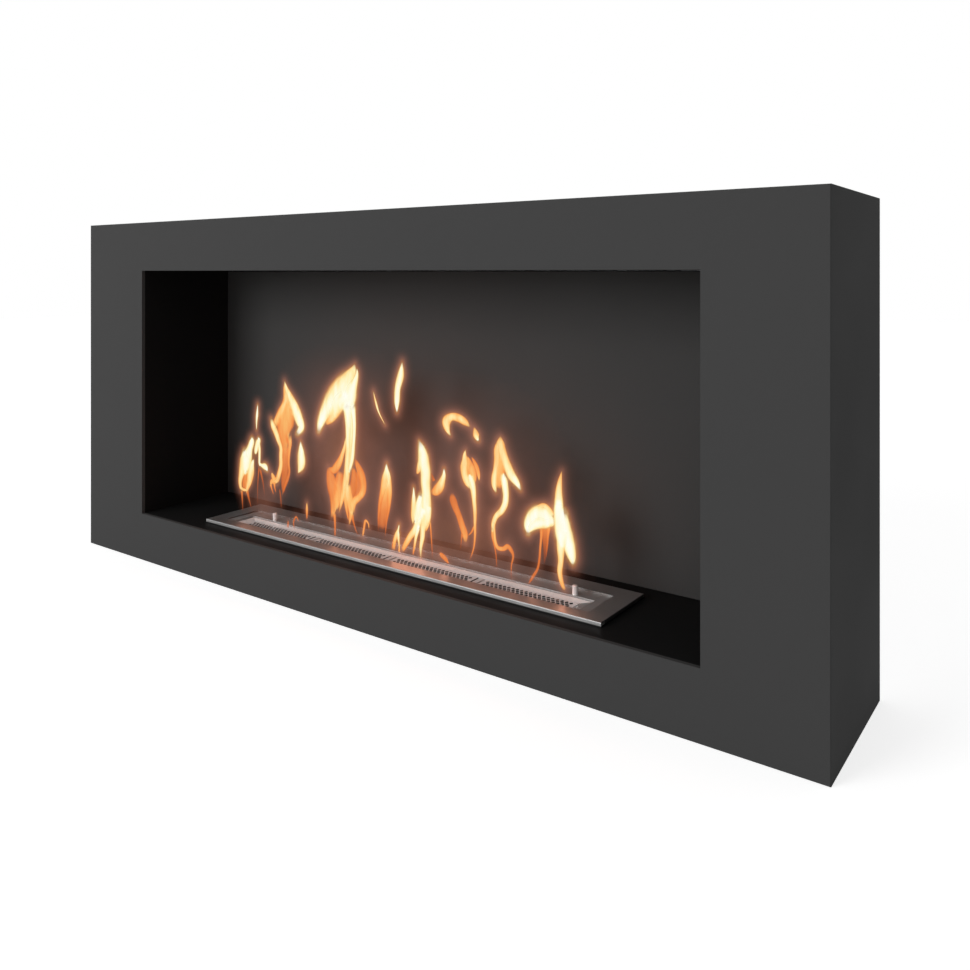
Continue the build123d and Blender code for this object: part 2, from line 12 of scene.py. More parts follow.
import bpy
import numpy as np
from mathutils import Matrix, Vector


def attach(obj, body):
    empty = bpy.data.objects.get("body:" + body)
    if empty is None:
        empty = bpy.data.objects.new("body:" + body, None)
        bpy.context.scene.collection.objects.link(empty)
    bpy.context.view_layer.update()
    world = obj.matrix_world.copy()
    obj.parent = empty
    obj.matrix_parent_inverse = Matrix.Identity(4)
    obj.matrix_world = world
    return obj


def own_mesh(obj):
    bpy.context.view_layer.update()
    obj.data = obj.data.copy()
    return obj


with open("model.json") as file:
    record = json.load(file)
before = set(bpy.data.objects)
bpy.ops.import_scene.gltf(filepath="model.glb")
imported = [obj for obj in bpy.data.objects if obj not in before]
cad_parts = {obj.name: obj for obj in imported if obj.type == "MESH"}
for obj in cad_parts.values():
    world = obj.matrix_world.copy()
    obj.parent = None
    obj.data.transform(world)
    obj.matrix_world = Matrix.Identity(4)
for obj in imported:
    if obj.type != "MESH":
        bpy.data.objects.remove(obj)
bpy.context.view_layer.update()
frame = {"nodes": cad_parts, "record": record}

MM = 0.001
scene = bpy.context.scene


# %% [markdown]
# ## The camera
# The photograph is a render with upright verticals, so its camera looks level and its frame
# is shifted down instead of tilted. Its place, turn and focal length were worked out from
# the casing's edges, which meet in two vanishing points. A shifted lens keeps uprights
# parallel, which a tilted camera would not.

# %% Place the camera
CAMERA_PLACE = (0.60545, -0.6720, 0.3412)
CAMERA_TURN = math.radians(35.571)      # to the left of straight ahead
SENSOR_WIDTH = 36.0
FOCAL_LENGTH = 32.431
IMAGE_SIDE = 970                        # the photograph's side, in pixels
EYE_PIXEL = (494.9, 272.2)              # where the level line of sight meets the photograph

camera_data = bpy.data.cameras.new("camera")
camera_data.sensor_width = SENSOR_WIDTH
camera_data.lens = FOCAL_LENGTH
camera_data.shift_x = (IMAGE_SIDE / 2 - EYE_PIXEL[0]) / IMAGE_SIDE
camera_data.shift_y = (EYE_PIXEL[1] - IMAGE_SIDE / 2) / IMAGE_SIDE
camera_data.clip_start = 0.01
camera = bpy.data.objects.new("camera", camera_data)
camera.location = CAMERA_PLACE
camera.rotation_euler = (math.radians(90), 0, CAMERA_TURN)
scene.collection.objects.link(camera)
scene.camera = camera
print("lens shift:", round(camera_data.shift_x, 4), round(camera_data.shift_y, 4))


# %% [markdown]
# ## Small helpers for materials
# Every finish below is a tree of shader nodes. A tree is easier to read when each node takes
# one line, so these helpers make a node, set its values and plug in what feeds it. Object
# coordinates are used throughout: all pieces sit at the origin, so one metre in the texture
# is one metre on the steel, and grain has the same size on every piece.

# %% Node helpers
FACTOR, FIRST, SECOND, MIXED = 0, 6, 7, 2      # a colour mix's sockets, the last an output


def new_finish(name):
    """A material with its node tree and its Principled shader."""
    material = bpy.data.materials.new(name)
    material.use_nodes = True
    tree = material.node_tree
    return material, tree, tree.nodes["Principled BSDF"]


def add(tree, kind, inputs=None, **settings):
    """Adds a node. Inputs are values, or sockets of other nodes to be linked."""
    node = tree.nodes.new("ShaderNode" + kind)
    for key, value in settings.items():
        setattr(node, key, value)
    for key, value in (inputs or {}).items():
        if isinstance(value, bpy.types.NodeSocket):
            tree.links.new(value, node.inputs[key])
        else:
            node.inputs[key].default_value = value
    return node


def grain(tree, size, stretch=(1, 1, 1), detail=3.0, roughness=0.55):
    """A noise whose features are about one size, in metres, stretched along some axes."""
    place = add(tree, "TexCoord")
    mapping = add(tree, "Mapping", {"Vector": place.outputs["Object"],
                                    "Scale": [1 / s for s in stretch]})
    noise = add(tree, "TexNoise", {"Vector": mapping.outputs["Vector"], "Scale": 1 / size,
                                   "Detail": detail, "Roughness": roughness})
    return noise.outputs["Fac"]


def spread(tree, value, low, high, from_low=0.3, from_high=0.7):
    """Spreads one range of a value, such as a noise's middle, over new limits."""
    node = add(tree, "MapRange", {"Value": value, "From Min": from_low, "From Max": from_high,
                                  "To Min": low, "To Max": high})
    return node.outputs["Result"]


def tint(tree, value, dark, light):
    """A colour between two, by a value from 0 to 1."""
    node = add(tree, "Mix", data_type="RGBA")
    tree.links.new(value, node.inputs[FACTOR])
    node.inputs[FIRST].default_value = (*dark, 1)
    node.inputs[SECOND].default_value = (*light, 1)
    return node.outputs[MIXED]


def maths(tree, operation, first, second):
    """The sum, product or the like of two values."""
    return add(tree, "Math", {0: first, 1: second}, operation=operation).outputs[0]


def relief(tree, height, depth, under=None):
    """A bump from a height map; depth is how deep it is, in metres."""
    inputs = {"Height": height, "Distance": depth}
    if under is not None:
        inputs["Normal"] = under
    return add(tree, "Bump", inputs).outputs["Normal"]


def grey(level, warmth=0.0):
    """A linear grey, a little redder than blue for a positive warmth."""
    return (level * (1 + warmth), level, level * (1 - warmth))


finishes = {}


# %% [markdown]
# ## Powder coat
# Powder coat is sprayed on dry and baked, and it melts into a skin with a faint orange-peel
# ripple and a very fine tooth. Image maps could carry that, but a procedural noise has no
# seams and no fixed resolution. Three noises do three jobs: ripple and tooth go to the bump,
# and a broad, soft one varies the sheen, because sprayed coats are never quite even.

# %% Graphite, black and satin black coats
RIPPLE = 0.0016          # size of the orange peel, in metres
TOOTH = 0.00028          # size of the fine grain
DRIFT = 0.11             # size of the patches of uneven sheen
TOOTH_SHARE = 0.4        # the tooth's depth, as a share of the ripple's


def powder_coat(name, dark, light, matt, glossy, ripple_depth, specular):
    """A baked coat between two greys, from matt to glossy roughness."""
    material, tree, shader = new_finish(name)
    broad = grain(tree, DRIFT, detail=2.0)
    tooth = grain(tree, TOOTH, detail=2.0)
    ripple = grain(tree, RIPPLE, detail=1.0)
    colour = tint(tree, spread(tree, tooth, 0, 1), dark, light)
    tree.links.new(colour, shader.inputs["Base Color"])
    tree.links.new(spread(tree, broad, glossy, matt), shader.inputs["Roughness"])
    waves = relief(tree, ripple, ripple_depth)
    tree.links.new(relief(tree, tooth, ripple_depth * TOOTH_SHARE, under=waves),
                   shader.inputs["Normal"])
    shader.inputs["Specular IOR Level"].default_value = specular
    finishes[name] = material


powder_coat("graphite_coat", grey(0.057), grey(0.070), 0.74, 0.66, 0.00003, 0.02)
powder_coat("black_coat", grey(0.0080), grey(0.0120), 0.60, 0.50, 0.00002, 0.03)
powder_coat("satin_black_coat", grey(0.044, 0.01), grey(0.054, 0.01), 0.60, 0.50, 0.00002,
            0.05)
print("coats:", sorted(finishes))


# %% [markdown]
# ## Brushed, ground and plain steel
# A brushed sheet carries thousands of fine parallel scratches. Painting them one by one is
# hopeless; a noise that is squeezed across and stretched along the brushing direction looks
# the same. The scratches change how rough the metal is and tilt its surface a little, and
# so draw its reflections out. Bare sheet, turned pins and strands of mesh use the same
# recipe with other directions and sizes.

# %% Steel finishes
HANDLING = 0.03          # how much handled patches change the roughness


def bare_steel(name, dark, light, dull, bright, scratch, stretch, depth, metallic=1.0,
               smudge=0.04):
    """A metal with scratches of a size, stretched along the way it was worked."""
    material, tree, shader = new_finish(name)
    lines = grain(tree, scratch, stretch, detail=4.0, roughness=0.65)
    patches = grain(tree, smudge, detail=2.0)
    colour = tint(tree, spread(tree, lines, 0, 1), dark, light)
    tree.links.new(colour, shader.inputs["Base Color"])
    scratched = spread(tree, lines, bright, dull)
    handled = spread(tree, patches, -HANDLING, HANDLING)
    tree.links.new(maths(tree, "ADD", scratched, handled), shader.inputs["Roughness"])
    tree.links.new(relief(tree, lines, depth), shader.inputs["Normal"])
    shader.inputs["Metallic"].default_value = metallic
    finishes[name] = material
    return tree, shader


ALONG_X = (60, 1, 1)     # scratches sixty times longer than wide
ALONG_PIN = (1, 1, 0.2)  # squeezed upwards, so they run around an upright pin
ALL_WAYS = (1, 1, 1)
SHEET = dict(scratch=0.00025, stretch=ALONG_X, depth=0.000004)
bare_steel("bright_trough", grey(0.88), grey(0.95), 0.50, 0.40, 0.0003, ALONG_X, 0.000003,
           metallic=0.3)
bare_steel("turned_steel", grey(0.84), grey(0.92), 0.40, 0.30, 0.0002, ALONG_PIN, 0.000004,
           metallic=0.3)
bare_steel("tank_steel", grey(0.42), grey(0.55), 0.46, 0.36, 0.0008, ALL_WAYS, 0.000006)
print("steels:", [name for name in finishes if "coat" not in name])


# %% [markdown]
# ## Sheets that aren't the same all over
# The burner plate is folded down at its rim. Its bend gets painted shade, a dark line is
# painted along its foot as a painted shadow, and the upright edge of its window gets painted
# shade too. The sheet below it is flat and brushed like the plate, and the walls of its
# trough are pressed in; those that face the front and the right are painted near white and
# less metallic, a painted reflection. The slide's upright edges get painted shade, and the
# mesh stays bright on top while the walls of its holes are painted black as painted shade.
# A face's own direction and place tell these regions apart, so nothing has to be cut or
# painted by hand.

# %% Burner plate, trough frame, slide and mesh
FRONT_EDGE = -0.045      # y that parts the plate's front rim from its window
RIM_FOOT = 0.0562        # z below which the rim is painted dark, a painted shadow gap
FOOT_BLUR = 0.0003       # half the height over which the rim's foot turns dark
FOOT_PAINTED_SHADOW = 0.06              # what the painted shadow at the rim's foot leaves of a colour
WINDOW_EDGE_SHADE = 0.3               # what the painted shade on the window's upright edge keeps of a colour
BEND_PAINTED_SHADE = [(0.0, 1.0), (0.3, 0.6), (0.9, 0.6), (1.0, 1.0)]      # (how level, share kept under the painted shade on the bend)
PAINTED_REFLECTION_FACING = (0.04, 0.12)   # a normal's x less its y, where the painted reflection sets in and where it is full
# the painted reflection's colour, near white
PAINTED_REFLECTION_COLOUR = (0.95, 0.95, 0.95, 1)


def directions(tree):
    """A face's direction and place on the object, as six numbers."""
    place = add(tree, "TexCoord")
    facing = add(tree, "SeparateXYZ", {"Vector": place.outputs["Normal"]})
    where = add(tree, "SeparateXYZ", {"Vector": place.outputs["Object"]})
    return [*facing.outputs, *where.outputs]


def calm_upright(tree, shader, up):
    """Leaves the scratches' relief off faces that stand upright, such as a sheet's edges."""
    bump = shader.inputs["Normal"].links[0].from_node
    tree.links.new(spread(tree, up, 0, 1, 0.3, 0.9), bump.inputs["Strength"])


def shade_by(tree, shader, factor):
    """Multiplies what feeds the base colour by a factor."""
    old = shader.inputs["Base Color"].links[0].from_socket
    node = add(tree, "Mix", {FACTOR: 1.0, FIRST: old, SECOND: factor}, data_type="RGBA",
               blend_type="MULTIPLY")
    tree.links.new(node.outputs[MIXED], shader.inputs["Base Color"])


tree, shader = bare_steel("brushed_plate", grey(0.52, 0.01), grey(0.64, 0.01), 0.46, 0.36,
                          **SHEET)
up, _, y, z = directions(tree)[2:]
calm_upright(tree, shader, up)
# painted shade: faces between level and upright, the plate's bend, are darkened
bend_shade = add(tree, "FloatCurve", {"Value": up})
curve = bend_shade.mapping.curves[0]
curve.points[0].location, curve.points[-1].location = BEND_PAINTED_SHADE[0], BEND_PAINTED_SHADE[-1]
for stop in BEND_PAINTED_SHADE[1:-1]:
    curve.points.new(*stop)
bend_shade.mapping.update()
# painted shade: upright faces behind the front rim, the window's edge, are darkened
upright = spread(tree, up, 1, 0, 0.2, 0.6)
inner = spread(tree, y, 0, 1, FRONT_EDGE, FRONT_EDGE + MM)
window_edge_shade = spread(tree, maths(tree, "MULTIPLY", upright, inner), 1, WINDOW_EDGE_SHADE, 0, 1)
# painted shadow: a dark line along the rim's foot, below RIM_FOOT
foot_shadow = spread(tree, z, FOOT_PAINTED_SHADOW, 1, RIM_FOOT - FOOT_BLUR, RIM_FOOT + FOOT_BLUR)
# the plate's painted shade and its painted shadow at the foot darken its brushed colour
level = maths(tree, "MULTIPLY", bend_shade.outputs[0], window_edge_shade)
shade_by(tree, shader, maths(tree, "MULTIPLY", level, foot_shadow))

tree, shader = bare_steel("trough_painted_reflection", grey(0.44, 0.01), grey(0.55, 0.01), 0.54, 0.44,
                          **SHEET)
x, y = directions(tree)[:2]
# painted reflection: walls facing front and right are painted near white and less metallic
reflection_share = spread(tree, maths(tree, "SUBTRACT", x, y), 0, 1, *PAINTED_REFLECTION_FACING)
brushed = shader.inputs["Base Color"].links[0].from_socket
painted_reflection = add(tree, "Mix", {FACTOR: reflection_share, FIRST: brushed, SECOND: PAINTED_REFLECTION_COLOUR},
               data_type="RGBA")
tree.links.new(painted_reflection.outputs[MIXED], shader.inputs["Base Color"])
tree.links.new(spread(tree, reflection_share, 1.0, 0.3, 0, 1), shader.inputs["Metallic"])

tree, shader = bare_steel("slide_sheet", grey(0.41, 0.01), grey(0.51, 0.01), 0.62, 0.52,
                          **SHEET)
up = directions(tree)[2]
calm_upright(tree, shader, up)
# painted shade: upright faces, the edges of the slide and its guides, are darkened
shade_by(tree, shader, spread(tree, up, 0.7, 1, 0.3, 0.8))

tree, shader = bare_steel("mesh_steel", grey(0.86), grey(0.95), 0.50, 0.40, 0.0005,
                          ALL_WAYS, 0.000006, metallic=0.2)
# painted shade: the walls of the mesh's holes are darkened nearly to black
shade_by(tree, shader, spread(tree, directions(tree)[2], 0.08, 1, 0.3, 0.8))


# %% [markdown]
# ## Zinc and ceramic wool
# Hot-dipped zinc freezes into flat crystals, the spangle, each a slightly different grey.
# A Voronoi texture has just such cells. Ceramic wool is a felt of white fibres, but here its
# plain colour is a dark grey, painted shade for the wool deep under the mesh, and nearly all
# of its looks come from a soft, tangled relief.

# %% Zinc sheet, zinc fasteners and wool
CRYSTAL_WANDER = 0.006   # how far noise bends the crystals' borders, in metres
CRYSTAL_GRAIN = 12       # grains across one crystal
FIBRE = 0.0011           # size of the felt's tangles


def zinc(name, spangle, dark, light, dull, bright):
    """Galvanised steel with crystals of a size in metres."""
    material, tree, shader = new_finish(name)
    place = add(tree, "TexCoord")
    wander = add(tree, "TexNoise", {"Vector": place.outputs["Object"], "Scale": 1 / spangle,
                                    "Detail": 2.0})
    bent = add(tree, "MixRGB", {"Fac": CRYSTAL_WANDER, "Color1": place.outputs["Object"],
                                "Color2": wander.outputs["Color"]}, blend_type="ADD")
    crystals = add(tree, "TexVoronoi", {"Vector": bent.outputs["Color"],
                                        "Scale": 1 / spangle})
    split = add(tree, "SeparateColor", {"Color": crystals.outputs["Color"]})
    shade = split.outputs["Red"]
    tree.links.new(tint(tree, shade, dark, light), shader.inputs["Base Color"])
    tree.links.new(spread(tree, shade, dull, bright, 0, 1), shader.inputs["Roughness"])
    fine = grain(tree, spangle / CRYSTAL_GRAIN)
    tree.links.new(relief(tree, fine, 0.000008), shader.inputs["Normal"])
    shader.inputs["Metallic"].default_value = 1.0
    finishes[name] = material


def wool(name):
    """Felted white fibres, coloured dark grey as painted shade."""
    material, tree, shader = new_finish(name)
    tangle = grain(tree, FIBRE, (1, 1, 2.5), detail=6.0, roughness=0.7)
    # painted shade: dark greys stand in for the wool's white
    tree.links.new(tint(tree, spread(tree, tangle, 0, 1), grey(0.05, 0.06), grey(0.14, 0.05)),
                   shader.inputs["Base Color"])
    tree.links.new(relief(tree, tangle, 0.0006), shader.inputs["Normal"])
    shader.inputs["Roughness"].default_value = 0.95
    finishes[name] = material


zinc("zinc_sheet", 0.009, grey(0.48, -0.02), grey(0.66, -0.02), 0.50, 0.36)
zinc("zinc_rail", 0.005, grey(0.40, -0.02), grey(0.54, -0.02), 0.52, 0.40)
zinc("zinc_fastener", 0.003, grey(0.55, -0.01), grey(0.70, -0.01), 0.42, 0.30)
wool("ceramic_fibre")


# %% [markdown]
# ## Dress the imported nodes
# The record says which material slot each node belongs to. Reading that list, instead of
# writing the nodes' names again here, keeps the two from drifting apart. Only four nodes get
# a finish of their own: the sheet with the pressed trough, whose walls carry a painted
# reflection, the slide's guides, which are cut from the same sheet as the slide, and the wall
# rail, whose zinc has a finer spangle.

# %% Put each finish on its nodes
OWN_FINISH = {"trough_frame": "trough_painted_reflection", "left_slide_guide": "slide_sheet",
              "right_slide_guide": "slide_sheet", "wall_rail": "zinc_rail"}
for row in frame["record"]["subparts"]:
    finish = finishes[OWN_FINISH.get(row["node"], row["material_slot"])]
    for holder in frame["nodes"][row["node"]].material_slots:
        holder.material = finish
print("finishes:", sorted(finishes))


# %% [markdown]
# ## The fire
# Ethanol burns with tall, soft tongues. A smoke simulation could grow such a fire, but it
# can't be told to copy the tongues of one photograph, and a volume isn't a mesh that can be
# handed on. So each flame is drawn in strokes, as with a brush: a stroke has a heat at its
# foot and at its tip, and points that say where it runs and how wide it is, in millimetres
# across and above the casing's base. White-hot bodies, dull orange sheets and the faint
# threads below them are all strokes of different heat. The points were picked by eye along
# the photographed flames, and a helper outside this script turned them into millimetres.

# %% The strokes, as (heat at foot, heat at tip, [(x, z, width), ...])
FIRE_PLANE = -22.25      # y of the middle of the trough
FIRE_FOOT = 54.8         # z, just above the mesh

FIRE = {
    "flame_1": [
        (0.70, 1.00, [(-219, 90, 4.5), (-221, 98, 6.5), (-219, 108, 9.5), (-215, 118, 15),
                      (-213, 126, 15.5), (-213, 136, 6)]),
        (0.66, 0.95, [(-210, 90, 4), (-205, 101, 9), (-202, 112, 11.5), (-200, 121, 8),
                      (-197, 128, 1.5)]),
        (0.90, 1.00, [(-212, 111, 5.5), (-210, 120, 16), (-208, 129, 17), (-204, 139, 10.5),
                      (-200, 148, 8.5), (-200, 153, 1.5)]),
        (0.66, 0.66, [(-222, 94, 2.5), (-215, 91, 4), (-207, 92, 2)]),
        (0.42, 0.50, [(-213, 92, 8), (-212, 99, 11), (-210, 106, 11.5), (-211, 113, 7.5)]),
        (0.80, 1.00, [(-194, 134, 2.5), (-193, 139, 6.5), (-190, 147, 8), (-188, 151, 6),
                      (-189, 154, 1)]),
        (0.90, 0.90, [(-188, 149, 3.5), (-187, 141, 4.5), (-187, 132, 4), (-187, 125, 3.5),
                      (-185, 122, 3)]),
        (0.85, 1.00, [(-187, 125, 2.5), (-183, 123, 4.5), (-177, 122, 8), (-173, 118, 1)]),
        (0.12, 0.40, [(-216, 66, 1), (-217, 78, 2.5), (-218, 90, 4.5)]),
        (0.12, 0.40, [(-201, 72, 1), (-205, 81, 3), (-209, 92, 5.5)]),
        (0.08, 0.34, [(-190, 77, 0.5), (-190, 98, 1.5), (-188, 121, 3)]),
        (0.08, 0.34, [(-178, 89, 0.5), (-181, 104, 2.5), (-186, 119, 4)])],
    "flame_2": [
        (0.90, 1.00, [(-192, 162, 0.5), (-192, 172, 3), (-191, 180, 4), (-190, 191, 0.5)])],
    "flame_3": [
        (1.00, 0.75, [(-124, 165, 4.5), (-118, 173, 10.5), (-122, 182, 14), (-128, 193, 13.5),
                      (-135, 203, 10.5), (-141, 212, 6), (-145, 221, 1)]),
        (0.50, 0.66, [(-144, 143, 7), (-145, 155, 14), (-146, 166, 22), (-144, 178, 31.5),
                      (-140, 191, 25), (-140, 202, 16), (-143, 212, 8.5), (-145, 219, 1.5)]),
        (0.66, 0.80, [(-158, 108, 7), (-154, 117, 7), (-151, 127, 6.5), (-151, 138, 6),
                      (-151, 147, 6), (-155, 155, 7.5), (-160, 164, 8.5), (-164, 170, 8),
                      (-167, 177, 4)]),
        (0.62, 0.78, [(-162, 170, 8), (-155, 180, 10), (-148, 190, 9.5), (-143, 199, 6.5),
                      (-143, 207, 2.5)]),
        (0.28, 0.62, [(-149, 94, 1.5), (-145, 103, 3), (-140, 113, 4.5), (-137, 122, 3.5),
                      (-138, 132, 3.5), (-137, 144, 4.5), (-136, 153, 6.5), (-137, 162, 7.5)]),
        (0.62, 0.56, [(-154, 112, 5), (-160, 109, 7), (-166, 107, 6), (-168, 103, 2)]),
        (0.30, 0.56, [(-163, 93, 1), (-166, 99, 2.5), (-168, 104, 4.5)]),
        (0.30, 0.56, [(-159, 96, 1), (-161, 101, 2.5), (-162, 107, 5)]),
        (0.60, 0.56, [(-166, 117, 1.5), (-164, 113, 6.5), (-161, 109, 7.5)]),
        (0.12, 0.30, [(-150, 80, 1), (-151, 90, 2.5), (-153, 101, 1.5)]),
        (0.26, 0.50, [(-147, 97, 4), (-146, 109, 9.5), (-144, 124, 12), (-143, 138, 13.5),
                      (-143, 151, 17.5)])],
    "flame_4": [
        (0.80, 1.00, [(-123, 122, 0.5), (-118, 132, 12), (-118, 144, 11), (-119, 157, 1)])],
    "flame_5": [
        (1.00, 0.80, [(-91, 171, 4.5), (-88, 180, 10.5), (-82, 191, 15.5), (-73, 202, 22.5),
                      (-63, 213, 26.5), (-53, 222, 26.5), (-46, 231, 18), (-40, 239, 10.5),
                      (-37, 246, 1.5)]),
        (1.00, 0.85, [(-49, 201, 15), (-45, 209, 18.5), (-42, 219, 16.5), (-37, 228, 9),
                      (-34, 236, 4.5), (-34, 242, 1)]),
        (0.60, 1.00, [(-80, 180, 3), (-73, 186, 10), (-67, 194, 15.5), (-60, 204, 19),
                      (-51, 212, 17)]),
        (0.60, 1.00, [(-60, 89, 1), (-56, 103, 6), (-52, 116, 8.5), (-49, 129, 9.5),
                      (-48, 144, 7.5), (-47, 164, 7), (-47, 182, 8), (-48, 195, 10.5),
                      (-49, 205, 14)]),
        (0.90, 0.95, [(-45, 134, 3.5), (-41, 149, 6), (-39, 165, 5), (-38, 181, 5.5),
                      (-39, 193, 7), (-41, 203, 10.5)]),
        (0.70, 0.90, [(-46, 136, 4), (-43, 150, 8.5), (-43, 167, 9), (-43, 185, 9),
                      (-44, 199, 10.5)]),
        (0.45, 0.75, [(-76, 134, 1.5), (-68, 133, 9), (-61, 140, 9.5), (-56, 149, 6.5),
                      (-52, 159, 4), (-50, 169, 1.5)]),
        (0.50, 0.44, [(-71, 82, 3), (-68, 94, 10), (-67, 106, 16.5), (-70, 116, 17.5),
                      (-73, 126, 13), (-76, 135, 4.5)]),
        (0.62, 0.46, [(-64, 92, 5.5), (-62, 107, 12.5), (-60, 120, 14), (-58, 133, 9)]),
        (0.30, 0.55, [(-66, 63, 2), (-66, 76, 3), (-67, 88, 4.5)]),
        (0.56, 0.72, [(-45, 79, 1.5), (-43, 91, 6.5), (-44, 102, 12), (-47, 111, 12.5),
                      (-48, 121, 9)]),
        (0.50, 0.62, [(-46, 83, 1.5), (-49, 95, 4.5), (-51, 106, 5.5), (-52, 115, 3.5)]),
        (0.66, 0.42, [(-41, 92, 7), (-39, 103, 9), (-32, 109, 8), (-26, 116, 9), (-25, 125, 9.5),
                      (-28, 134, 10.5), (-33, 142, 7.5), (-37, 149, 2)]),
        (0.38, 0.42, [(-42, 108, 7), (-39, 120, 10.5), (-38, 130, 9), (-39, 139, 4)]),
        (0.36, 0.44, [(-38, 105, 5.5), (-32, 116, 10), (-31, 126, 10.5), (-33, 137, 5.5)]),
        (0.10, 0.50, [(-31, 70, 0.5), (-35, 74, 1.5), (-39, 83, 3), (-41, 91, 4.5)])],
    "flame_6": [
        (0.80, 0.80, [(5, 188, 0.5), (-3, 199, 2), (-7, 208, 3), (-11, 220, 0.5)])],
    "flame_7": [
        (0.95, 0.90, [(21, 202, 1), (21, 212, 7), (22, 226, 8), (26, 239, 9), (28, 252, 1)])],
    "flame_8": [
        (0.22, 1.00, [(-4, 79, 1), (-4, 93, 2.5), (-2, 108, 4.5), (2, 122, 7.5), (5, 133, 9.5),
                      (7, 141, 7), (7, 149, 1)]),
        (0.22, 1.00, [(5, 74, 1), (7, 90, 2.5), (10, 104, 4), (11, 118, 7), (10, 130, 8.5),
                      (9, 138, 7), (7, 148, 1)]),
        (0.26, 0.72, [(0, 82, 7.5), (2, 94, 12.5), (4, 108, 14), (6, 121, 13), (7, 130, 9)])],
    "flame_9": [
        (0.50, 0.60, [(-26, 70, 2), (-24, 79, 3), (-22, 87, 3), (-18, 85, 2), (-17, 80, 1)])],
    "flame_10": [
        (0.35, 0.65, [(-109, 74, 1), (-109, 84, 4), (-109, 92, 1)]),
        (0.30, 0.40, [(-129, 60, 1), (-130, 68, 2), (-126, 74, 2), (-122, 70, 1)]),
        (0.25, 0.30, [(-140, 60, 4), (-139, 64, 3), (-139, 68, 1)])],
    "flame_11": [
        (0.75, 1.00, [(52, 63, 1.5), (52, 73, 4), (54, 83, 6), (55, 93, 7.5), (57, 101, 13),
                      (58, 110, 15.5), (59, 118, 13.5), (59, 127, 12), (58, 137, 12.5),
                      (58, 147, 13.5), (56, 156, 15), (55, 163, 13.5), (53, 170, 9),
                      (50, 177, 1)]),
        (0.55, 0.95, [(47, 144, 1.5), (49, 148, 5.5), (51, 154, 7), (53, 161, 6.5)]),
        (0.66, 1.00, [(42, 94, 1), (42, 102, 5.5), (43, 110, 7), (43, 119, 5.5), (43, 125, 3),
                      (43, 131, 0.5)]),
        (0.90, 1.00, [(45, 97, 4.5), (48, 106, 12), (50, 115, 9.5), (52, 124, 5.5)]),
        (0.50, 1.00, [(28, 65, 3.5), (32, 72, 6), (38, 81, 7), (45, 90, 7.5), (50, 100, 9),
                      (55, 109, 9)]),
        (0.45, 1.00, [(42, 64, 1.5), (44, 73, 3), (46, 83, 4), (49, 93, 5.5)]),
        (0.55, 0.95, [(58, 90, 2), (60, 96, 5), (62, 104, 6), (63, 113, 5.5)]),
        (0.22, 0.55, [(67, 66, 0.5), (66, 78, 1.5), (65, 90, 2), (64, 101, 2)]),
        (0.50, 1.00, [(65, 128, 3.5), (71, 131, 10), (76, 136, 10.5), (79, 142, 7.5),
                      (81, 148, 4.5), (81, 154, 0.5)]),
        (0.15, 0.35, [(65, 148, 0.5), (67, 144, 3), (69, 140, 4.5)])],
    "flame_12": [
        (0.50, 1.00, [(16, 64, 5), (18, 74, 5), (21, 81, 5), (23, 86, 2.5), (24, 91, 0.5)]),
        (0.50, 0.95, [(24, 63, 3), (24, 70, 2), (23, 77, 3.5), (23, 83, 3)])],
    "flame_13": [
        (0.80, 0.66, [(89, 186, 1), (85, 192, 7), (84, 199, 11), (90, 204, 8), (98, 204, 8.5),
                      (106, 201, 7.5), (112, 197, 1.5)])],
    "flame_14": [
        (0.55, 0.95, [(117, 197, 1), (119, 191, 7.5), (120, 188, 6), (122, 185, 1.5)])],
    "flame_15": [
        (0.32, 1.00, [(112, 73, 1), (115, 80, 1.5), (117, 87, 2), (118, 97, 3), (118, 107, 3.5),
                      (118, 118, 4.5), (117, 129, 5.5), (116, 138, 7), (114, 146, 8),
                      (112, 151, 4)]),
        (0.80, 0.70, [(113, 140, 4), (109, 145, 8.5), (106, 151, 8.5), (105, 158, 9),
                      (106, 164, 7.5), (106, 170, 4.5), (107, 175, 0.5)]),
        (0.60, 0.56, [(117, 145, 5), (115, 152, 11.5), (112, 158, 13.5), (110, 164, 8.5),
                      (108, 169, 3)]),
        (0.62, 0.46, [(123, 148, 1), (122, 154, 4.5), (120, 160, 5.5), (117, 165, 4),
                      (114, 169, 1)]),
        (0.40, 0.50, [(110, 95, 0.5), (114, 99, 2), (117, 105, 2)]),
        (0.55, 0.34, [(107, 88, 3), (106, 96, 8), (103, 103, 8), (99, 112, 7.5), (95, 119, 8.5),
                      (92, 126, 9), (91, 132, 3)]),
        (0.12, 0.40, [(101, 80, 0.5), (102, 89, 1.5), (103, 96, 3)])],
    "flame_16": [
        (0.40, 0.45, [(87, 64, 1), (83, 68, 5), (78, 71, 5), (76, 73, 1)])],
    "flame_17": [
        (0.70, 1.00, [(138, 104, 3), (139, 111, 5), (142, 118, 5.5), (148, 124, 6.5),
                      (152, 131, 7), (153, 139, 7), (152, 147, 8), (151, 153, 7.5),
                      (150, 158, 2)]),
        (1.00, 0.62, [(169, 146, 0.5), (165, 152, 7), (159, 158, 10), (155, 165, 10),
                      (151, 172, 10.5), (148, 180, 10.5), (147, 186, 9), (147, 192, 1)]),
        (0.80, 0.66, [(142, 140, 2), (140, 146, 6), (140, 153, 7), (142, 161, 7), (143, 170, 7),
                      (143, 179, 7), (145, 186, 5.5)]),
        (0.56, 0.66, [(144, 144, 7.5), (145, 153, 11.5), (146, 162, 13.5), (147, 171, 11),
                      (146, 179, 7.5)]),
        (0.22, 0.62, [(143, 70, 0.5), (142, 83, 1.5), (140, 92, 2), (138, 99, 2.5),
                      (138, 107, 2.5)]),
        (0.66, 0.30, [(140, 113, 3.5), (140, 104, 3), (141, 95, 4), (144, 90, 4.5),
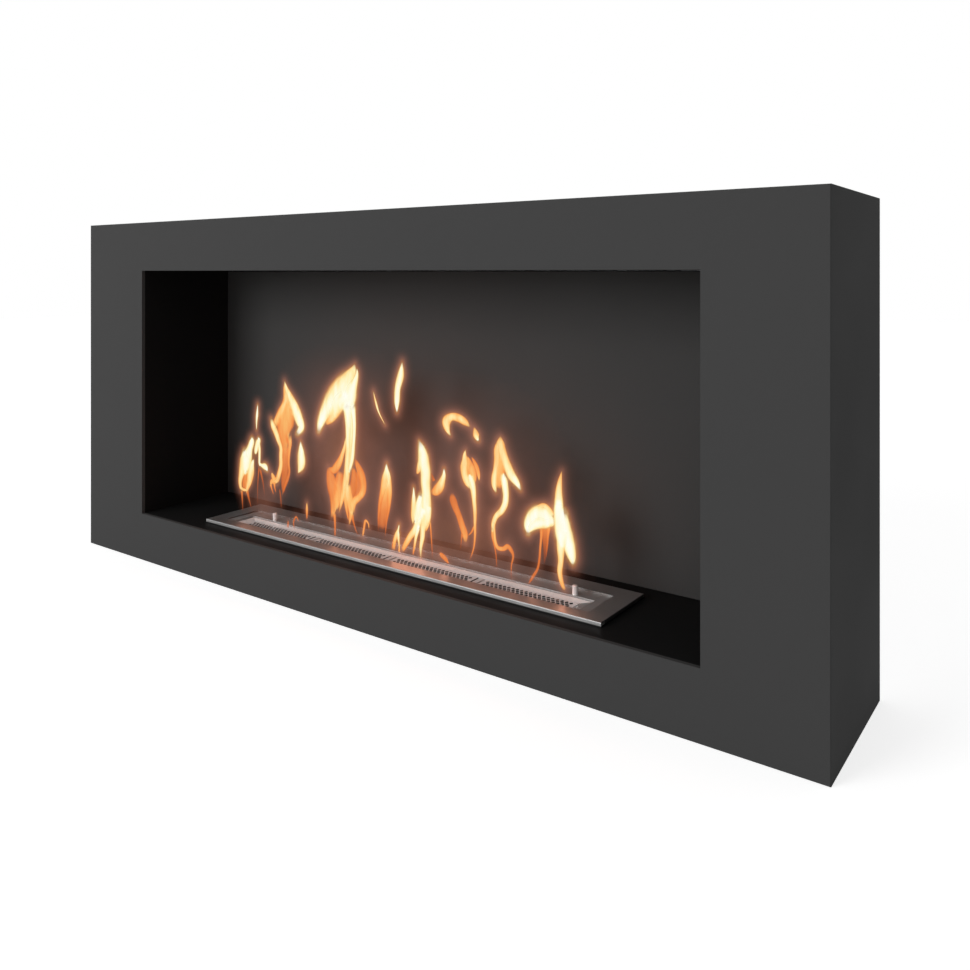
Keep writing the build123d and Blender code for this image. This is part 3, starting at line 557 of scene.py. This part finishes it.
                      (150, 90, 4.5), (155, 93, 5), (159, 90, 4.5), (161, 85, 2.5),
                      (159, 76, 1.5), (159, 64, 0.5)])],
    "flame_18": [
        (1.00, 0.92, [(177, 109, 3.5), (177, 116, 9.5), (181, 123, 13), (187, 128, 14.5),
                      (194, 127, 17.5), (200, 124, 12.5), (205, 124, 6)]),
        (0.95, 0.95, [(177, 110, 3), (182, 116, 8), (189, 120, 10.5), (196, 121, 9),
                      (203, 124, 5.5)]),
        (0.70, 0.80, [(182, 129, 3.5), (188, 133, 5.5), (194, 135, 7), (199, 132, 7.5),
                      (203, 128, 5.5)]),
        (0.30, 0.50, [(177, 63, 1), (182, 71, 3), (187, 79, 2.5), (189, 88, 2.5), (190, 99, 2.5),
                      (191, 109, 3), (191, 117, 4.5)]),
        (0.08, 0.42, [(194, 84, 1), (195, 96, 4), (195, 107, 6.5), (195, 118, 10)]),
        (0.18, 0.52, [(196, 90, 0.5), (197, 100, 2), (198, 110, 2.5), (199, 119, 4.5)])],
    "flame_19": [
        (0.56, 1.00, [(215, 66, 3), (212, 72, 4.5), (210, 81, 5.5), (211, 91, 6), (211, 101, 8.5),
                      (212, 110, 11.5), (212, 118, 12.5)]),
        (1.00, 1.00, [(212, 105, 8), (211, 114, 12), (210, 123, 12.5), (209, 133, 11),
                      (209, 141, 8)]),
        (0.62, 1.00, [(212, 169, 0.5), (210, 159, 5), (209, 150, 7.5), (209, 140, 9.5),
                      (209, 132, 10)]),
        (0.92, 1.00, [(223, 90, 2.5), (222, 96, 9), (220, 103, 12.5), (217, 112, 14.5),
                      (214, 122, 14), (212, 132, 11.5)])],
}
print("flames:", len(FIRE), "strokes:", sum(len(strokes) for strokes in FIRE.values()))


# %% [markdown]
# ### From a stroke to a tongue
# A Catmull-Rom curve passes through all its points, so a few picked points stay true.
# Rings of vertices follow it: wide across the picture, thinner from front to back, which
# gives each stroke a real body. Where strokes of one flame cross, every vertex takes the
# hottest stroke's heat, so they run together like wet paint. A fire isn't flat, so the
# strokes also lean a little to the front or rear as they rise. They lean along the camera's
# line of sight: the fire gains depth from the side, and from the front no tongue shifts.

# %% Build one tongue
STEPS = 8                # rings from one point to the next
RING = 18                # vertices in a ring
FLATNESS = 0.62          # a tongue's thickness, as a share of its width
MOST_DEEP = 7.0          # and at most this half thickness, in millimetres
LEAN = 5.0               # the most that a stroke leans to the front or rear
EDGE_HEAT = 0.55         # heat at a stroke's sides, as a share of its middle's
HEAT_FALL = 0.7          # below 1, the heat holds out longer on its way to the sides
LEAST_WIDTH = 0.5
LEAN_RISE = 60           # height over which the lean sets in, in millimetres
LEAN_WAVE = 45           # height for each radian of the lean's sway
END_FADE = 0.10          # share of a stroke over which each end fades
FOOT_FADE, FOOT_COVER = 8, 0.15      # height of the fade over the mesh, and the least cover
SOFT_SIDE = 0.45         # share of the way to the middle at which a tongue is full
COVER_PER_HEAT = 1.35    # cool strokes are clearer


def smooth_line(points):
    """Catmull-Rom samples through the points, ends included."""
    p = np.array([points[0], *points, points[-1]], float)
    p[0] = 2 * p[1] - p[2]
    p[-1] = 2 * p[-2] - p[-3]
    samples = []
    for i in range(1, len(p) - 2):
        for t in np.arange(STEPS) / STEPS:
            a, b, c, d = p[i - 1:i + 3]
            samples.append(0.5 * (2 * b + (c - a) * t + (2 * a - 5 * b + 4 * c - d) * t ** 2
                                  + (3 * b - a - 3 * c + d) * t ** 3))
    samples.append(p[-2])
    line = np.array(samples)
    line[:, 2] = np.clip(line[:, 2], LEAST_WIDTH, None)
    return line


def leaned(x, z, forward):
    """Moves points towards the camera by a depth, along its lines of sight."""
    eye = np.array(CAMERA_PLACE) / MM
    share = forward / (FIRE_PLANE - eye[1])
    return x + (eye[0] - x) * share, FIRE_PLANE - forward, z + (eye[2] - z) * share


def heat_across(own, middle):
    """A stroke's own heat, cooler towards its sides; middle is 1 in its middle."""
    return own * (EDGE_HEAT + (1 - EDGE_HEAT) * middle ** HEAT_FALL)


def shared_heat(x, z, others):
    """The hottest of all strokes of a flame at some places, cooler towards their sides."""
    px, pz, half, own = others.T
    middle = 1 - ((x[..., None] - px) ** 2 + (z[..., None] - pz) ** 2) / half ** 2
    middle = np.clip(middle, 0, None)
    return (heat_across(own, middle) * (middle > 0)).max(axis=2)


def tongue(heats, points, phase, others):
    """Vertices in millimetres, faces, and each vertex's heat and cover."""
    line = smooth_line(points)
    count = len(line)
    along = np.gradient(line[:, :2], axis=0)
    along /= np.linalg.norm(along, axis=1)[:, None]
    turn = np.arange(RING) * 2 * math.pi / RING
    side, depth = np.cos(turn), np.sin(turn)
    half = line[:, 2:] / 2
    x = line[:, :1] + along[:, 1:] * side * half
    z = np.maximum(line[:, 1:2] - along[:, :1] * side * half, FIRE_FOOT)
    heat = shared_heat(x, z, others)
    risen = np.clip((z - FIRE_FOOT) / LEAN_RISE, 0, 1)
    lean = LEAN * risen * np.sin(phase + z / LEAN_WAVE)
    x, y, z = leaned(x, z, lean + depth * np.minimum(half * FLATNESS, MOST_DEEP))
    z = np.maximum(z, FIRE_FOOT)
    faces = [(r * RING + k, r * RING + (k + 1) % RING, (r + 1) * RING + (k + 1) % RING,
              (r + 1) * RING + k) for r in range(count - 1) for k in range(RING)]
    faces += [tuple(reversed(range(RING))), tuple(range((count - 1) * RING, count * RING))]
    share = np.linspace(0, 1, count)[:, None]
    own = heats[0] + (heats[1] - heats[0]) * share
    middle = 1 - side ** 2                       # 0 at a tongue's sides, 1 along its middle
    heat = np.maximum(heat, heat_across(own, middle))
    ends = np.clip(np.minimum(share, 1 - share) / END_FADE, 0, 1)
    foot = np.clip((z - FIRE_FOOT) / FOOT_FADE, FOOT_COVER, 1)
    solid = np.clip(own * COVER_PER_HEAT, 0, 1)
    cover = np.clip(middle / SOFT_SIDE, 0, 1) * solid * ends * foot
    vertices = np.stack([x, y, z], axis=2).reshape(-1, 3)
    return vertices, faces, heat.ravel(), cover.ravel()


# %% [markdown]
# ### The glow around the flames
# A bright flame dazzles: eye and lens spread its light into a soft glow, strong at its edge
# and gone a centimetre away, and a fainter warm glow of the fire's light spreads wider. The
# compositor could add both to a picture, but then the model would lose them. Instead very
# thin sheets stand in the fire, one behind each flame for its glow and one behind them all
# for the wider glow, painted light in a few soft pools.
# Every vertex of a sheet carries how much it covers, worked out from the strokes around it,
# and a sheet fades to nothing at its rim.

# %% Build a sheet with a soft cover
LEAST_COVER = 0.004      # faces with less are left out
SHEET_RISE = 10          # height over which a sheet's foot fades in, in millimetres


def soft_sheet(xs, zs, cover, forward):
    """Vertices in millimetres, faces and covers of an upright sheet."""
    wide = len(xs)
    faces = [(r * wide + c, r * wide + c + 1, (r + 1) * wide + c + 1, (r + 1) * wide + c)
             for r in range(len(zs) - 1) for c in range(wide - 1)
             if cover[r:r + 2, c:c + 2].max() > LEAST_COVER]
    used = sorted({v for face in faces for v in face})
    place = {v: i for i, v in enumerate(used)}
    x, z = np.meshgrid(xs, zs)
    x, y, z = leaned(x, z, np.full(x.shape, forward))
    vertices = np.stack([x, y, np.maximum(z, FIRE_FOOT)], axis=2).reshape(-1, 3)[used]
    return vertices, [tuple(place[v] for v in face) for face in faces], cover.ravel()[used]


def samples_of(strokes):
    """x, z, half width and heat of every sample along some strokes."""
    rows = []
    for foot, tip, points in strokes:
        line = smooth_line(points)
        rows.append(np.column_stack([line[:, 0], line[:, 1], line[:, 2] / 2,
                                     np.linspace(foot, tip, len(line))]))
    return np.concatenate(rows)


# %% The glow of one flame
GLOW_GRID = 2.5          # spacing of the sheet's vertices, in millimetres
GLOW_REACH = 16.0        # where the glow ends
GLOW_COVER = 0.48        # how much the glow covers right at the hottest strokes
GLOW_FADE = 3.1          # distance over which it falls to about a third
GLOW_RIM = 8             # width of the last fade, at the sheet's rim
GLOW_PER_HEAT = 1.5      # above 1, cool strokes glow much less than hot ones
GLOW_PLACE = -5.2        # behind the middle of every tongue, so a glow never veils its flame
SHEET_GAP = 0.15         # between the sheets of neighbouring flames, front to back


def glow_sheet(strokes, forward):
    """A sheet whose cover falls off quickly around the strokes of one flame."""
    px, pz, half, heat = samples_of(strokes).T
    xs = np.arange(px.min() - GLOW_REACH, px.max() + GLOW_REACH + GLOW_GRID, GLOW_GRID)
    low = max(FIRE_FOOT, pz.min() - GLOW_REACH)
    zs = np.arange(low, pz.max() + GLOW_REACH + GLOW_GRID, GLOW_GRID)
    x, z = np.meshgrid(xs, zs)
    away = np.clip(np.hypot(x[..., None] - px, z[..., None] - pz) - half, 0, None)
    cover = (GLOW_COVER * heat ** GLOW_PER_HEAT * np.exp(-away / GLOW_FADE)).max(axis=2)
    cover *= np.clip((GLOW_REACH - away.min(axis=2)) / GLOW_RIM, 0, 1)
    cover *= np.clip((z - FIRE_FOOT) / SHEET_RISE, 0, 1)
    return soft_sheet(xs, zs, cover, forward)


# %% The painted glow over the whole fire
PAINTED_GLOW_GRID = 6.0          # spacing of the sheet's vertices, in millimetres
PAINTED_GLOW_PLACE = -8.3        # behind the flames' own sheets, and still over the mesh
PAINTED_GLOW_LEFT, PAINTED_GLOW_RIGHT = -235, 320
PAINTED_GLOW_TOP = 276.0         # low enough to clear the ceiling when the burner is lifted
PAINTED_GLOW_FALL = 50           # height over which it fades out below its top
# painted light: soft pools of warm glow over the fire
PAINTED_GLOW_POOLS = [(-56, 149, 40, 51, 0.175),      # x, z, width, height and cover of each pool
              (95, 146, 52, 44, 0.085), (70, 86, 60, 24, 0.12), (150, 105, 32, 34, 0.06),
              (-178, 84, 16, 20, 0.13)]


def painted_glow_sheet():
    """A broad sheet of painted glow, thickest where a few soft pools of it stand."""
    x, z = np.meshgrid(np.arange(PAINTED_GLOW_LEFT, PAINTED_GLOW_RIGHT, PAINTED_GLOW_GRID),
                       np.arange(FIRE_FOOT, PAINTED_GLOW_TOP, PAINTED_GLOW_GRID))
    cover = sum(most * np.exp(-(((x - px) / wide) ** 2 + ((z - pz) / tall) ** 2) / 2)
                for px, pz, wide, tall, most in PAINTED_GLOW_POOLS)
    cover *= np.clip((z - FIRE_FOOT) / SHEET_RISE, 0, 1)
    cover *= np.clip((PAINTED_GLOW_TOP - z) / PAINTED_GLOW_FALL, 0, 1)
    print("most haze:", round(float(cover.max()), 3))
    return soft_sheet(x[0], z[:, 0], cover, PAINTED_GLOW_PLACE)


# %% [markdown]
# ### Two finishes for the fire
# A flame gives light and hides almost nothing, so both finishes mix emission with
# transparency by the cover on the vertices. The tongue's colour follows its heat: deep
# orange, then yellow, then nearly white, with a noise drawn out upward for the flicker. The
# fire also lights the burner around it. It does so with a deeper orange than the camera sees,
# because a picture clips the fire's real brightness and a room doesn't. Nothing here depends
# on where the camera stands, so the fire looks alike from all sides.

# %% Fire and glow
FIRE_COLOURS = [(0.00, (0.36, 0.05, 0.010)), (0.15, (0.56, 0.11, 0.025)),
                (0.30, (0.82, 0.19, 0.040)), (0.45, (0.96, 0.30, 0.075)),
                (0.60, (1.0, 0.52, 0.16)), (0.78, (1.0, 0.86, 0.43)),
                (0.88, (1.0, 0.96, 0.68)), (1.00, (1.0, 1.00, 0.88))]
GLOW_COLOURS = [(0.00, (1.0, 0.35, 0.21)), (0.12, (1.0, 0.38, 0.24)),
                (0.30, (1.0, 0.38, 0.14)), (0.42, (1.0, 0.54, 0.22)),
                (0.55, (1.0, 0.68, 0.32))]
FIRELIGHT = (1.0, 0.42, 0.27, 1)
FIRELIGHT_STRENGTH = 2.3
FLICKER = 0.06           # how much noise changes a tongue's heat or a glow's cover


def colour_ramp(tree, value, stops):
    """A colour ramp with its stops."""
    ramp = add(tree, "ValToRGB", {"Fac": value})
    elements = ramp.color_ramp.elements
    while len(elements) < len(stops):
        elements.new(0.5)
    for element, (place, colour) in zip(elements, stops):
        element.position = place
        element.color = (*colour, 1)
    return ramp.outputs["Color"]


def see_through(tree, cover, solid):
    """Mixes a shader with transparency and sends it to the output."""
    clear = add(tree, "BsdfTransparent")
    both = add(tree, "MixShader", {0: cover, 1: clear.outputs[0], 2: solid})
    add(tree, "OutputMaterial", {"Surface": both.outputs[0]})


def bare_tree(name):
    """A material whose node tree is empty."""
    material = bpy.data.materials.new(name)
    material.use_nodes = True
    material.node_tree.nodes.clear()
    return material, material.node_tree


def fire_finish():
    """The tongues: colour by heat, light for what stands around."""
    material, tree = bare_tree("fire")
    heat = add(tree, "Attribute", attribute_name="hotness").outputs["Fac"]
    cover = add(tree, "Attribute", attribute_name="cover").outputs["Fac"]
    flicker = spread(tree, grain(tree, 0.005, (1, 1, 5), detail=2.0), -FLICKER, FLICKER)
    lively = maths(tree, "ADD", heat, flicker)
    shown = add(tree, "Emission", {"Color": colour_ramp(tree, lively, FIRE_COLOURS)})
    light = add(tree, "Emission", {"Color": FIRELIGHT, "Strength": FIRELIGHT_STRENGTH})
    path = add(tree, "LightPath").outputs["Is Camera Ray"]
    either = add(tree, "MixShader", {0: path, 1: light.outputs[0], 2: shown.outputs[0]})
    see_through(tree, cover, either.outputs[0])
    return material


def glow_finish():
    """The glow: thin where it is red, thicker where it is yellow."""
    material, tree = bare_tree("glow")
    cover = add(tree, "Attribute", attribute_name="cover").outputs["Fac"]
    uneven = spread(tree, grain(tree, 0.012, detail=1.0), 1 - FLICKER, 1 + FLICKER)
    lively = maths(tree, "MULTIPLY", cover, uneven)
    shown = add(tree, "Emission", {"Color": colour_ramp(tree, lively, GLOW_COLOURS)})
    see_through(tree, lively, shown.outputs[0])
    return material


fire, glow = fire_finish(), glow_finish()


# %% [markdown]
# ### One object for each flame
# The tongues of one flame and its glow are joined in one mesh, which rides on the burner,
# because the fire goes where the burner goes.

# %% Build and place the flames
SWAY_STEP = 1.7          # radians between the sways of neighbouring flames


def fire_piece(name, vertices, faces, hotness, cover, tongue_faces):
    """A piece of the fire: tongues first, then glow, riding on the burner."""
    mesh = bpy.data.meshes.new(name)
    mesh.from_pydata((vertices * MM).tolist(), [], faces)
    for key, value in (("hotness", hotness), ("cover", cover)):
        layer = mesh.attributes.new(key, "FLOAT", "POINT")
        layer.data.foreach_set("value", np.clip(value, 0, 1).astype(np.float32))
    mesh.materials.append(fire if tongue_faces else glow)
    if tongue_faces:
        mesh.materials.append(glow)
        mesh.polygons.foreach_set("material_index", [int(i >= tongue_faces)
                                                     for i in range(len(faces))])
    mesh.polygons.foreach_set("use_smooth", [True] * len(faces))
    piece = bpy.data.objects.new(name, mesh)
    scene.collection.objects.link(piece)
    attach(piece, "burner")
    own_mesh(piece)
    return piece


def flame(name, strokes, number):
    """One flame from its strokes, in place on the burner."""
    others = samples_of(strokes)
    parts = [tongue(stroke[:2], stroke[2], SWAY_STEP * number + i, others)
             for i, stroke in enumerate(strokes)]
    places, sheet, sheet_cover = glow_sheet(strokes, GLOW_PLACE - SHEET_GAP * number)
    starts = np.cumsum([0] + [len(part[0]) for part in parts])
    faces = [tuple(int(v + start) for v in face)
             for start, part in zip(starts, parts) for face in part[1]]
    tongue_faces = len(faces)
    faces += [tuple(int(v + starts[-1]) for v in face) for face in sheet]
    return fire_piece(name, np.concatenate([part[0] for part in parts] + [places]), faces,
                      np.concatenate([part[2] for part in parts] + [0 * sheet_cover]),
                      np.concatenate([part[3] for part in parts] + [sheet_cover]),
                      tongue_faces)


flames = [flame(name, strokes, i) for i, (name, strokes) in enumerate(FIRE.items())]
# painted light: the wider glow's sheet, riding on the burner
places, faces, cover = painted_glow_sheet()
painted_glow = fire_piece("fire_painted_glow", places, faces, 0 * cover, cover, 0)
print("flame faces:", sum(len(piece.data.polygons) for piece in flames),
      "haze faces:", len(painted_glow.data.polygons))


# %% [markdown]
# ## Floor and background
# The photograph has a pure white surround. A pale floor takes the fireplace's soft shadow,
# and the world shows white to the camera and to reflections while it lights the object at
# a calmer level. Making the lamps stronger instead would wash out the object's own colours.

# %% Floor and world
FLOOR_REACH = 6.0        # half the floor's side, in metres
FLOOR_GREY = 0.70
MOTTLE = 0.02            # how much darker the mottle's dark patches are
FLOOR_LIFT = 0.70        # what the camera sees on top of the light on the floor


def seen_rays(tree):
    """One for camera, glossy and transmitted rays, nought for the rest."""
    path = add(tree, "LightPath").outputs
    seen = maths(tree, "MAXIMUM", path["Is Camera Ray"], path["Is Glossy Ray"])
    return maths(tree, "MAXIMUM", seen, path["Is Transmission Ray"])


def pale_floor():
    """A wide floor with a faint mottle, under the fireplace."""
    mesh = bpy.data.meshes.new("floor")
    r = FLOOR_REACH
    mesh.from_pydata([(-r, -r, 0), (r, -r, 0), (r, r, 0), (-r, r, 0)], [], [(0, 1, 2, 3)])
    material, tree, shader = new_finish("pale_floor")
    mottle = spread(tree, grain(tree, 0.25), 0, 1)
    tree.links.new(tint(tree, mottle, grey(FLOOR_GREY - MOTTLE), grey(FLOOR_GREY)),
                   shader.inputs["Base Color"])
    tree.links.new(maths(tree, "MULTIPLY", seen_rays(tree), FLOOR_LIFT),
                   shader.inputs["Emission Strength"])
    shader.inputs["Emission Color"].default_value = (1, 1, 1, 1)
    shader.inputs["Roughness"].default_value = 0.8
    shader.inputs["Specular IOR Level"].default_value = 0.2
    mesh.materials.append(material)
    floor = bpy.data.objects.new("floor", mesh)
    scene.collection.objects.link(floor)


SKY_LIGHT = 0.38         # the world's strength as a light
WHITE = (1, 1, 1, 1)


def white_world():
    """White for camera, glossy and transmitted rays, and a plain sky light for the rest."""
    world = bpy.data.worlds.new("studio")
    world.use_nodes = True
    tree = world.node_tree
    tree.nodes.clear()
    light = add(tree, "Background", {"Color": WHITE, "Strength": SKY_LIGHT})
    white = add(tree, "Background", {"Color": WHITE, "Strength": 1.0})
    both = add(tree, "MixShader", {0: seen_rays(tree), 1: light.outputs[0],
                                   2: white.outputs[0]})
    add(tree, "OutputWorld", {"Surface": both.outputs[0]})
    scene.world = world


pale_floor()
white_world()


# %% [markdown]
# ## Studio light
# One large soft lamp stands high on the left in front, so the front face is the lightest
# side and the right side falls off, as in the photograph. Large lamps give soft shadows; a
# small one would draw hard edges inside the chamber.

# %% The lamp
LAMP_PLACE = Vector((-1.6, -3.5, 1.35))
LAMP_AIM = Vector((0, 0, 0.2))          # the middle of the casing
LAMP_SIDE = 2.0
LAMP_WATTS = 90

lamp_data = bpy.data.lights.new("key", "AREA")
lamp_data.shape = "SQUARE"
lamp_data.size = LAMP_SIDE
lamp_data.energy = LAMP_WATTS
lamp = bpy.data.objects.new("key", lamp_data)
lamp.location = LAMP_PLACE
lamp.rotation_euler = (LAMP_AIM - LAMP_PLACE).to_track_quat("-Z", "Y").to_euler()
scene.collection.objects.link(lamp)
print("lamp:", LAMP_WATTS, "W,", LAMP_SIDE, "m a side")


# %% [markdown]
# ## How the picture is made
# Tongues and sheets stand one behind the other, and a line of sight that may pass too few of
# them ends in black. The standard view shows colours as they are, where a filmic one would
# turn the white surround grey.

# %% Colours and see-through surfaces
SHEETS_DEEP = 64         # transparent surfaces that one line of sight may pass
scene.view_settings.view_transform = "Standard"
scene.cycles.transparent_max_bounces = SHEETS_DEEP
print("view:", scene.view_settings.view_transform)
